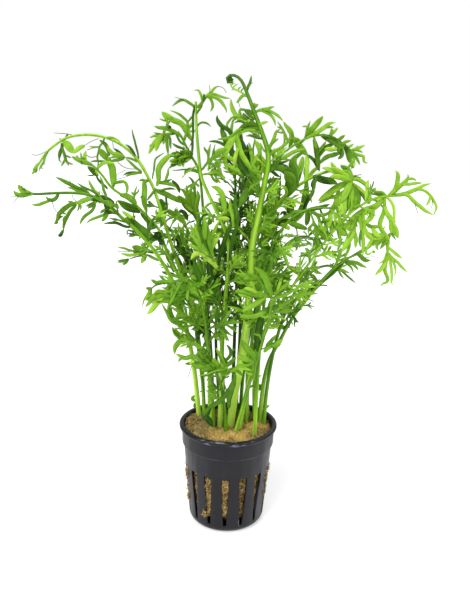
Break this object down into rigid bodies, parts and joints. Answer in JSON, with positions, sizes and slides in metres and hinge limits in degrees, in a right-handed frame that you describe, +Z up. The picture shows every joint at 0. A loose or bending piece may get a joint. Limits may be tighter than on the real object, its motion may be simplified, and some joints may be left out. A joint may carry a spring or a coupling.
{
  "type": "water sprite",
  "caption": "Water sprite, a finely divided aquarium fern, planted in rock wool in a black slotted net pot, with fronds that rise from the pot and arch to both sides.",
  "frame": {"origin": "centre of the net pot's underside", "axes": "+Z up along the pot's axis; +X to the picture's right; -Y towards the picture's viewer"},
  "size_m": [0.2015, 0.1364, 0.231],
  "materials": {
    "pot": "satin",
    "rock_wool": "fibrous",
    "leaf": "soft satin"
  },
  "bodies": {
    "root": {"pot": "pot", "rock_wool": "rock_wool", "frond_left_sweep": "leaf", "frond_left_middle": "leaf", "frond_left_arch": "leaf", "frond_left_tuft": "leaf", "frond_blunt_top": "leaf", "frond_tall_fiddlehead": "leaf", "frond_right_crown": "leaf", "frond_right_top": "leaf", "frond_right_middle": "leaf", "frond_right_reach": "leaf", "frond_right_sweep": "leaf", "frond_dark_stem": "leaf", "frond_centre_back": "leaf", "frond_low_left": "leaf", "frond_low_front": "leaf", "frond_low_right": "leaf", "frond_back_left": "leaf", "frond_back_middle": "leaf", "frond_back_right": "leaf", "frond_back_low": "leaf", "frond_side_right": "leaf", "frond_front_left": "leaf", "frond_front_right": "leaf"}
  },
  "joints": []
}
